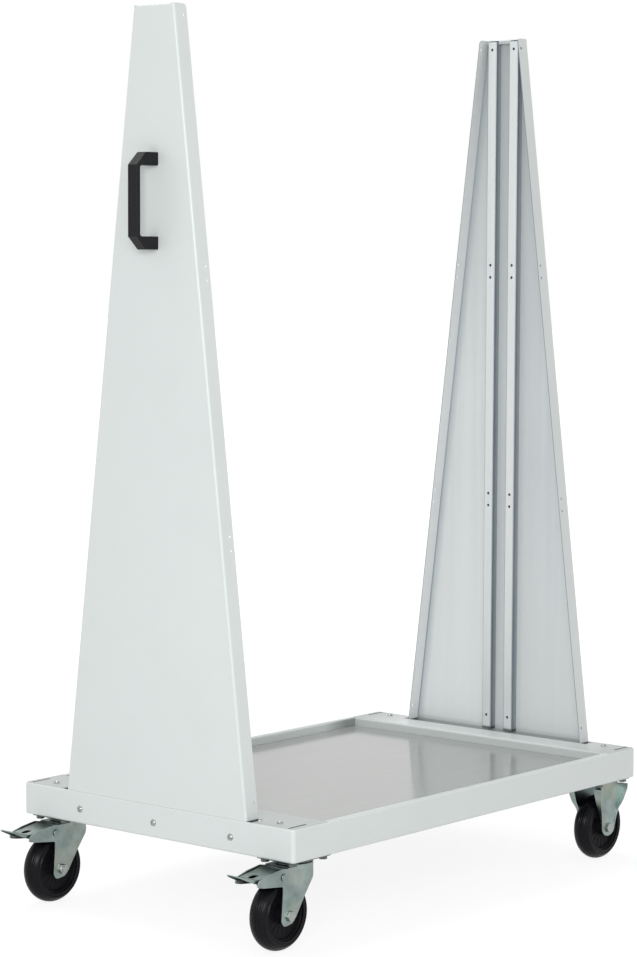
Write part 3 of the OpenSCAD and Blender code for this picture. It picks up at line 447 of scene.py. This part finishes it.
# Shaping: small steps that several pieces share
def turnOf(vert):  # how far an outline turns at one of its points
    first, second = (edge.other_vert(vert).co - vert.co for edge in vert.link_edges)
    return math.pi - first.angle(second)


def cornerFace(bm, corners, level):
    # a face in the XZ plane from corners of x, z and radius in millimetres
    verts = [bm.verts.new((x * mm, level * mm, z * mm)) for x, z, radius in corners]
    bm.faces.new(verts)
    for vert, (x, z, radius) in zip(verts, corners):
        if radius:
            reach = radius * mm * math.tan(turnOf(vert) / 2)
            bmesh.ops.bevel(bm, geom=[vert], offset=reach, offset_type="OFFSET", affect="VERTICES",
                            segments=5, profile=0.5, material=-1)


def softenEdges(bm, edges, radius, steps=3):
    bmesh.ops.bevel(bm, geom=edges, offset=radius * mm, offset_type="OFFSET", affect="EDGES",
                    segments=steps, profile=0.5, material=-1)


def foldedEdges(bm, degrees):
    return [e for e in bm.edges if len(e.link_faces) == 2 and e.calc_face_angle(0) > math.radians(degrees)]


def faceUp(bm):
    # the faces of an open sheet agree, and most of what lies flat looks up
    bmesh.ops.recalc_face_normals(bm, faces=bm.faces)
    if sum(face.normal.z * face.calc_area() for face in bm.faces) < 0:
        bmesh.ops.reverse_faces(bm, faces=bm.faces)


def spinRound(bm, profile, along, steps, centre=(0, 0, 0)):
    # a turned solid from a profile of radius and place along its axis, in millimetres
    along, centre = Vector(along), Vector(centre)
    out = along.orthogonal().normalized()
    verts = [bm.verts.new(centre + (out * radius + along * place) * mm) for radius, place in profile]
    edges = [bm.edges.new(pair) for pair in zip(verts, verts[1:])]
    if profile[0][0] > 0:  # the profile of a ring is closed
        edges.append(bm.edges.new((verts[-1], verts[0])))
    bmesh.ops.spin(bm, geom=verts + edges, cent=centre, axis=along, angle=math.tau, steps=steps,
                   use_merge=True)
    bmesh.ops.remove_doubles(bm, verts=bm.verts, dist=tiny)


# How the pieces are finished: angles in degrees, and the steps of a softened edge
finishing = {"sharpFrom": 36, "flatTo": 0.3, "edgeSteps": 2}


def addPiece(bm, name, body, slot, stands, place=(0, 0, 0), wall=0, edge=0, foldFrom=50, keepFacing=False,
             evenWall=True):
    # the mesh becomes an object that rides on its body and stands for CAD nodes
    bmesh.ops.translate(bm, verts=bm.verts, vec=place)
    if not keepFacing:
        bmesh.ops.recalc_face_normals(bm, faces=bm.faces)
    mesh = bpy.data.meshes.new(name)
    bm.to_mesh(mesh)
    bm.free()
    mesh.materials.append(finishOf(stands[0]) if stands else finishes[slot])
    mesh.shade_smooth()
    mesh.set_sharp_from_angle(angle=math.radians(finishing["sharpFrom"]))
    piece = bpy.data.objects.new(name, mesh)
    scene.collection.objects.link(piece)
    if wall:
        shell = piece.modifiers.new("wall", "SOLIDIFY")
        shell.thickness = wall * mm
        shell.offset = -1
        shell.use_even_offset = evenWall
    if edge:
        soft = piece.modifiers.new("edge", "BEVEL")
        soft.width = edge * mm
        soft.segments = finishing["edgeSteps"]
        soft.limit_method = "ANGLE"
        soft.angle_limit = math.radians(foldFrom)
    evened = piece.modifiers.new("evened", "WEIGHTED_NORMAL")
    evened.keep_sharp = True
    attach(piece, body)
    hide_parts(*stands)
    modelled.update(stands)


def mergedCopy(nodeName):
    # the CAD node's mesh with its corners joined and its flat faces whole
    bm = bmesh.new()
    bm.from_mesh(nodes[nodeName].data)
    bmesh.ops.remove_doubles(bm, verts=bm.verts, dist=tiny)
    bmesh.ops.dissolve_limit(bm, angle_limit=math.radians(finishing["flatTo"]), verts=bm.verts,
                             edges=bm.edges)
    return bm


# Push handle: a moulded grip with sloped corners
handle = {"grip": 8.5, "arm": 22.5, "slope": 22, "shoulder": 23, "inner": 5, "outer": 2.2, "edge": 1.3}


def makeHandle():
    low, high = (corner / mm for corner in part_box("push_handle"))
    out, wall = low.x, high.x
    shoulder, palm = out + handle["shoulder"], out + handle["grip"]
    outer, inner = handle["outer"], handle["inner"]
    outline = [(wall, low.z, 0), (shoulder, low.z, outer), (out, low.z + handle["slope"], outer),
               (out, high.z - handle["slope"], outer), (shoulder, high.z, outer), (wall, high.z, 0),
               (wall, high.z - handle["arm"], 0), (palm, high.z - handle["arm"], inner),
               (palm, low.z + handle["arm"], inner), (wall, low.z + handle["arm"], 0)]
    bm = bmesh.new()
    cornerFace(bm, outline, low.y)
    grown = bmesh.ops.extrude_face_region(bm, geom=bm.faces[:])["geom"]
    far = [v for v in grown if isinstance(v, bmesh.types.BMVert)]
    bmesh.ops.translate(bm, verts=far, vec=(0, (high.y - low.y) * mm, 0))
    bmesh.ops.recalc_face_normals(bm, faces=bm.faces)
    # the edges that lie on the panel stay sharp
    rims = [e for e in foldedEdges(bm, degrees=50) if min(v.co.x for v in e.verts) < wall * mm - tiny]
    softenEdges(bm, rims, handle["edge"])
    addPiece(bm, "pushHandle", "base", "handle_plastic", ["push_handle"])


makeHandle()
print("push handle done")

# Wheels: a grooved tyre on a ribbed centre. The lip's points are from the rim and from the tyre's side
wheel = {"radius": 62.5, "width": 36, "rim": 45, "crown": 22, "around": 96, "treadSteps": 39,
         "lip": [(0, -0.8), (1, 0), (2.4, 0), (3.2, -1), (5.6, -1), (6.6, -0.2)],
         "shoulder": 0.5, "shoulderDown": 0.7, "shoulderIn": 0.1,
         "grooves": (2.5, 7.5, 12.5), "groove": 0.6, "grooveHalf": 0.5,
         "web": 9.5, "ribs": 16, "rib": 2.4, "ribWide": 20.6, "hub": 14.5, "hubWide": 45, "bore": 7.56,
         "inset": 3, "play": 0.05, "centreAround": 72, "edge": 0.5}


def treadRadius(y):
    inGroove = min(abs(abs(y) - groove) for groove in wheel["grooves"]) < wheel["grooveHalf"]
    bulge = math.sqrt(wheel["crown"] ** 2 - y ** 2) - wheel["crown"]
    return wheel["radius"] + bulge - (wheel["groove"] if inGroove else 0)


def bothSides(side, middle=()):
    # a profile of radius and place from one side to its mirror image
    return [*side, *middle, *((radius, -y) for radius, y in reversed(side))]


def makeTyre(name, body, centre):
    half, steps = wheel["width"] / 2, wheel["treadSteps"]
    reach = half - wheel["shoulder"]
    side = [(wheel["rim"] + out, half + aside) for out, aside in wheel["lip"]]
    side.append((treadRadius(half) - wheel["shoulderDown"], half - wheel["shoulderIn"]))
    places = [reach - 2 * reach * i / steps for i in range(steps + 1)]
    bm = bmesh.new()
    spinRound(bm, bothSides(side, [(treadRadius(y), y) for y in places]), (0, 1, 0), wheel["around"])
    addPiece(bm, name, body, "tyre_rubber", [name], place=centre)


def makeWheelCentre(name, body, centre):
    half, rim = wheel["width"] / 2 - wheel["inset"], wheel["rim"] - wheel["play"]
    hub, web, hubHalf = wheel["hub"], wheel["web"], wheel["hubWide"] / 2
    side = [(wheel["bore"], hubHalf), (hub - 1, hubHalf), (hub, hubHalf - 1), (hub + 1.5, web),
            (rim - 5, web), (rim - 3.6, half - 1), (rim - 2.6, half), (rim, half)]
    bm = bmesh.new()
    spinRound(bm, bothSides(side), (0, 1, 0), wheel["centreAround"])
    long = rim - hub - 2
    for i in range(wheel["ribs"]):
        rib = bmesh.ops.create_cube(bm, size=mm)["verts"]
        bmesh.ops.scale(bm, verts=rib, vec=(long, wheel["ribWide"], wheel["rib"]))
        bmesh.ops.translate(bm, verts=rib, vec=((hub - 1 + long / 2) * mm, 0, 0))
        around = Matrix.Rotation(math.tau * i / wheel["ribs"], 3, "Y")
        bmesh.ops.rotate(bm, verts=rib, cent=(0, 0, 0), matrix=around)
    addPiece(bm, name, body, "wheel_plastic", [name], place=centre, edge=wheel["edge"])


for side in pivots:
    for kind in ("swivel", "fixed"):
        centre = Vector(joints[f"{side}_{kind}_wheel_spin"]["pos_m"])
        makeTyre(f"{side}_{kind}_tyre", f"{side}_{kind}_wheel", centre)
        makeWheelCentre(f"{side}_{kind}_wheel_centre", f"{side}_{kind}_wheel", centre)
print("wheels done")

# Swivel forks: two cheeks and a rounded front, folded from one sheet, below a pressed crown
fork = {"wall": 2.5, "halfWide": 26, "top": -11, "front": 33, "axleX": -40, "axleZ": -94.5, "leg": 16,
        "arm": 121, "armDrop": 11, "skirt": -42, "rise": 58, "arch": 16, "capFrom": -45, "bend": 2.6,
        "frontSteps": 14, "edge": 0.5}

# The crown's profile: radius, and height from the top of the fork
crown = {"around": 72, "profile": [(6.1, -2.4), (6.1, 0.3), (21.5, 0.3), (22.6, 1.5), (30, 1.5), (32.2, 0.9),
                                   (33, -0.6), (33, -7.5), (30.6, -7.5), (30.6, -3.4), (29.6, -2.4)]}


def cheekCorners(join):
    top, arm, drop, skirt = fork["top"], fork["arm"], fork["armDrop"], fork["skirt"]
    x, z, leg = fork["axleX"], fork["axleZ"], fork["leg"]
    heel = x - leg - 1
    foot = heel - 4.5
    return [(join, top, 0), (fork["capFrom"], top, 0), (-arm / 2, top, 33),
            (-arm * 0.76, top - drop * 0.4, 33), (-arm + 4, top - drop, 3), (-arm, top - drop - 6, 3),
            (-arm, skirt + 9, 3), (-arm * 0.88, skirt + 6, 4), (heel, skirt, 5), (foot, z - 6.5, 6),
            (foot + 4.5, z - leg + 1.5, 5), (foot + 11.5, z - leg, 8), (x + 6, z - leg + 2.5, 7),
            (x + leg, z - 4, 8), ((join + x + leg) / 2, z + fork["rise"] / 2, 20),
            (join, z + fork["rise"], 0)]


def makeSwivelFork(side, pivot):
    half, top, low = fork["halfWide"], fork["top"] * mm, (fork["axleZ"] + fork["rise"]) * mm
    join = math.sqrt(fork["front"] ** 2 - half ** 2)
    bm = bmesh.new()
    cornerFace(bm, cheekCorners(join), -half)
    edge = [e for e in bm.edges if min(v.co.x for v in e.verts) > join * mm - tiny]
    bmesh.ops.spin(bm, geom=edge[0].verts[:] + edge, cent=(0, 0, 0), axis=(0, 0, 1),
                   angle=2 * math.atan2(half, join), steps=fork["frontSteps"])
    cornerFace(bm, cheekCorners(join), half)
    bmesh.ops.remove_doubles(bm, verts=bm.verts, dist=tiny)
    for vert in bm.verts:  # the front's lower edge arches up in the middle
        if abs(vert.co.z - low) < tiny and vert.co.x > join * mm + tiny:
            share = (vert.co.x / mm - join) / (fork["front"] - join)
            vert.co.z += fork["arch"] * mm * math.sin(min(1, share) * math.pi / 2)
    capFrom = fork["capFrom"] * mm
    rim = [e for e in bm.edges if len(e.link_faces) == 1
           and all(abs(v.co.z - top) < tiny and v.co.x > capFrom - tiny for v in e.verts)]
    ends = [v for v in bm.verts if abs(v.co.x - capFrom) < tiny and abs(v.co.z - top) < tiny]
    bmesh.ops.contextual_create(bm, geom=rim + [bm.edges.new(ends)])
    faceUp(bm)
    upright = [e for e in foldedEdges(bm, degrees=25) if abs(e.verts[0].co.z - e.verts[1].co.z) > mm]
    softenEdges(bm, upright, fork["bend"], steps=5)
    softenEdges(bm, foldedEdges(bm, degrees=60), fork["bend"], steps=4)
    addPiece(bm, f"{side}SwivelFork", f"{side}_swivel", "zinc_steel", [f"{side}_swivel_fork"], place=pivot,
             wall=fork["wall"], edge=fork["edge"], keepFacing=True)
    ring = bmesh.new()
    profile = [(radius, fork["top"] + height) for radius, height in crown["profile"]]
    spinRound(ring, profile, (0, 0, 1), crown["around"])
    addPiece(ring, f"{side}SwivelCrown", f"{side}_swivel", "zinc_steel", [], place=pivot)


for side, pivot in pivots.items():
    makeSwivelFork(side, pivot)
print("swivel forks done")

# Brake pedals: a channel that narrows and gets shallow towards its turned-up tip
pedal = {"tip": -156.5, "tipZ": -9, "bend": -118, "bendZ": -22, "start": -58, "startZ": -12.5, "end": -48,
         "ease": 2.5, "settle": 0.3, "wall": 1.5, "corner": 9, "edge": 0.7, "earUp": 0.4, "earDown": 5,
         "slotAt": -104, "slotHalf": 10, "slotWide": 6,
         "fromTip": (0, 1, 3, 6, 10, 18, 27, 33, 41), "behindSlot": (-86, -74, -66),
         "alongSlot": (-1, -0.93, -0.75, -0.4, 0.4, 0.75, 0.93, 1),
         "wide": [(-157, 16), (-118, 19.5), (-106, 22), (-48, 22)],
         "skirt": [(-157, 2.2), (-140, 4.5), (-118, 7), (-106, 8), (-90, 15.4), (-62, 21.5), (-48, 22)]}


def lineAt(points, x):
    for (x0, z0), (x1, z1) in zip(points, points[1:]):
        if x <= x1:
            return z0 + (z1 - z0) * (x - x0) / (x1 - x0)


def pedalSection(x):
    # half a section from the skirt's edge to the slot: across and height
    out = (x - pedal["bend"]) / (pedal["tip"] - pedal["bend"])
    back = (x - pedal["bend"]) / (pedal["start"] - pedal["bend"])
    lip = pedal["bendZ"] + out * (pedal["tipZ"] - pedal["bendZ"])
    body = pedal["bendZ"] + back * (pedal["startZ"] - pedal["bendZ"])
    top = (lip + body + math.hypot(lip - body, pedal["ease"])) / 2 - pedal["settle"]
    near = max(0, pedal["corner"] - (x - pedal["tip"]))
    half = lineAt(pedal["wide"], x) - pedal["corner"] + math.sqrt(pedal["corner"] ** 2 - near ** 2)
    past = max(0, abs(x - pedal["slotAt"]) - pedal["slotHalf"] + pedal["slotWide"])
    hole = math.sqrt(max(1.5, pedal["slotWide"] ** 2 - past ** 2))  # 1.5 keeps the middle strip's width
    return [(half, top - lineAt(pedal["skirt"], x)), (half, top), (hole, top)]


def makePedal(side, pivot):
    slot, hole = pedal["slotAt"], pedal["slotHalf"]
    stations = [pedal["bend"], pedal["start"], *pedal["behindSlot"]]
    stations += [pedal["tip"] + step for step in pedal["fromTip"]]
    stations += [slot + hole * share for share in pedal["alongSlot"]]
    bm = bmesh.new()
    rows = []
    for x in sorted(stations):
        half = pedalSection(x)
        section = [(-y, z) for y, z in half] + half[::-1]
        rows.append([bm.verts.new((x * mm, y * mm, z * mm)) for y, z in section])
    for back, front in zip(rows, rows[1:]):
        for i in range(5):
            middle = (back[2].co.x + front[2].co.x) / 2 / mm
            if i != 2 or abs(middle - slot) > hole:
                bm.faces.new((back[i], front[i], front[i + 1], back[i + 1]))
    for i, way in ((0, 1), (5, -1)):  # an ear on each side, at the end with the rivet
        low, high = rows[-1][i], rows[-1][i + way]
        heights = (low.co.z + pedal["earUp"] * mm, high.co.z - pedal["earDown"] * mm)
        ends = [bm.verts.new((pedal["end"] * mm, low.co.y, z)) for z in heights]
        bm.faces.new((low, ends[0], ends[1], high))
    faceUp(bm)
    addPiece(bm, f"{side}BrakePedal", f"{side}_pedal", "zinc_steel", [f"{side}_brake_pedal"], place=pivot,
             wall=pedal["wall"], edge=pedal["edge"], keepFacing=True, evenWall=False)


for side, pivot in pivots.items():
    makePedal(side, pivot)
print("brake pedals done")

# Domed bolts with a round socket in the head
dome = {"radius": 6.25, "rise": 4, "shank": 3, "steps": 7, "socket": 3.4, "socketDeep": 1.8,
        "socketFloor": 0.9, "around": 36}


def solidBoxes(nodeName):
    # lowest and highest corner of each separate solid in a node, in the order of their places
    bm = mergedCopy(nodeName)
    boxes = []
    left = set(bm.verts)
    while left:
        found = [left.pop()]
        for vert in found:
            near = {edge.other_vert(vert) for edge in vert.link_edges} & left
            left -= near
            found.extend(near)
        places = [[vert.co[i] for vert in found] for i in range(3)]
        boxes.append((Vector([min(p) for p in places]), Vector([max(p) for p in places])))
    bm.free()
    return sorted(boxes, key=lambda box: box[0][:])


def makeDomedBolts(nodeName, axis):
    ball = (dome["radius"] ** 2 + dome["rise"] ** 2) / (2 * dome["rise"])
    first, last = (math.asin(dome[name] / ball) for name in ("socket", "radius"))
    arc = [first + (last - first) * i / dome["steps"] for i in range(dome["steps"] + 1)]
    floor = dome["rise"] - dome["socketDeep"]
    socket = [(0, floor), (dome["socket"] * dome["socketFloor"], floor)]
    head = [(ball * math.sin(a), dome["rise"] - ball + ball * math.cos(a)) for a in arc]
    bm = bmesh.new()
    for low, high in solidBoxes(nodeName):
        along = Vector(axis) * (math.copysign(1, low.x) if axis[0] else 1)
        middle, half = (low + high) / 2, (high - low).dot(Vector(axis)) / 2
        foot = middle + along * (half - dome["rise"] * mm)
        tail = dome["rise"] - 2 * half / mm
        shank = [(dome["shank"], 0), (dome["shank"], tail), (0, tail)]
        spinRound(bm, socket + head + shank, along, dome["around"], foot)
    addPiece(bm, f"{nodeName}Domed", "base", "bolt_steel", [nodeName])


makeDomedBolts("corner_bolts", (0, 0, 1))
makeDomedBolts("panel_foot_bolts", (1, 0, 0))
print("domed bolts done")

# The other nodes keep their CAD shape and get softened edges, by slot: radius and least fold
softened = {"painted_steel": (0.4, 50), "galvanised_steel": (0.3, 50), "zinc_steel": (0.6, 50),
            "bolt_steel": (0.7, 70), "brake_rubber": (0.8, 50), "tray_sheet": (0.3, 50)}
bodyOf = {node: body for body, held in frame["record"]["behaviour"]["bodies"].items() for node in held}


def softenRest():
    for nodeName, slot in slotOf.items():
        if nodeName not in modelled and slot in softened:
            edge, foldFrom = softened[slot]
            addPiece(mergedCopy(nodeName), f"{nodeName}Softened", bodyOf[nodeName], slot, [nodeName],
                     edge=edge, foldFrom=foldFrom, keepFacing=True)


softenRest()
print("softened pieces done")

# Floor and surroundings: the floor becomes wholly white between two distances from the object, in metres
studio = {"floorHalf": 30, "floor": 0.8, "nearShare": 0.78, "whiteFrom": 1.0, "whiteTo": 3.0, "glow": 1.12,
          "rough": 0.9, "light": 0.56}


def makeFloor():
    bm = bmesh.new()
    bmesh.ops.create_grid(bm, x_segments=2, y_segments=2, size=studio["floorHalf"])
    mesh = bpy.data.meshes.new("studioFloor")
    bm.to_mesh(mesh)
    bm.free()
    floor = bpy.data.objects.new("studioFloor", mesh)
    scene.collection.objects.link(floor)
    pale = (studio["floor"],) * 3 + (1,)
    paint = newPaint("paleStudioFloor", Roughness=studio["rough"], Base_Color=pale)
    away = paint.add("ShaderNodeVectorMath", {"operation": "LENGTH"}, {0: paint.place}, output="Value")
    white = paint.spread(away, studio["whiteFrom"], studio["whiteTo"])
    share = paint.seen() * (studio["nearShare"] + (1 - studio["nearShare"]) * white)
    glow = paint.add("ShaderNodeEmission", {}, {"Color": (1, 1, 1, 1), "Strength": studio["glow"]})
    plain = Wire(paint, paint.surface.outputs[0])
    both = paint.add("ShaderNodeMixShader", {}, {0: share, 1: plain, 2: glow})
    paint.tree.links.new(both.socket, paint.tree.nodes["Material Output"].inputs["Surface"])
    mesh.materials.append(paint.holder)


def makeWorld():
    scene.world = bpy.data.worlds.new("whiteStudio")
    paint = Paint(scene.world)
    light = studio["light"] + paint.seen() * (1 - studio["light"])
    back = paint.add("ShaderNodeBackground", {}, {"Color": (1, 1, 1, 1), "Strength": light})
    paint.tree.links.new(back.socket, paint.tree.nodes["World Output"].inputs["Surface"])


# Lamps: place, aim and size in metres, power in watts
lamps = {
    "frontLamp": {"place": (-3.9, -2.6, 2.0), "aim": (0, 0, 0.7), "size": 1.4, "power": 76},
    "sideLamp": {"place": (-2.4, -2.7, 1.5), "aim": (-0.5, 0, 0.8), "size": 1.2, "power": 12},
    "topLamp": {"place": (0.2, 1.2, 4.2), "aim": (0, 0, 0.2), "size": 2.4, "power": 60}}


def makeLamps():
    for name, lamp in lamps.items():
        data = bpy.data.lights.new(name, "AREA")
        data.shape = "DISK"
        data.size = lamp["size"]
        data.energy = lamp["power"]
        piece = bpy.data.objects.new(name, data)
        piece.location = lamp["place"]
        aim = Vector(lamp["aim"]) - Vector(lamp["place"])
        piece.rotation_euler = aim.to_track_quat("-Z", "Y").to_euler()
        scene.collection.objects.link(piece)


# Camera in metres and degrees, found from the base's, the panels' and the wheels' places in the photograph
shot = {"fromEndFace": -3.4266, "aside": -3.2494, "height": 1.1729, "turn": -49.97, "down": 4.72,
        "roll": 0.234, "lens": 103.656, "sensor": 36, "clip": 100}


def makeCamera():
    data = bpy.data.cameras.new("photoCamera")
    data.lens = shot["lens"]
    data.sensor_width = shot["sensor"]
    data.clip_end = shot["clip"]
    camera = bpy.data.objects.new("photoCamera", data)
    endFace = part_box("handle_end_member")[0].x
    camera.matrix_world = (
        Matrix.Translation((endFace + shot["fromEndFace"], shot["aside"], shot["height"]))
        @ Matrix.Rotation(math.radians(shot["turn"]), 4, "Z")
        @ Matrix.Rotation(math.radians(90 - shot["down"]), 4, "X")
        @ Matrix.Rotation(math.radians(shot["roll"]), 4, "Z"))
    scene.collection.objects.link(camera)
    scene.camera = camera


makeFloor()
makeWorld()
makeLamps()
makeCamera()
scene.view_settings.view_transform = "Standard"
print("studio done")
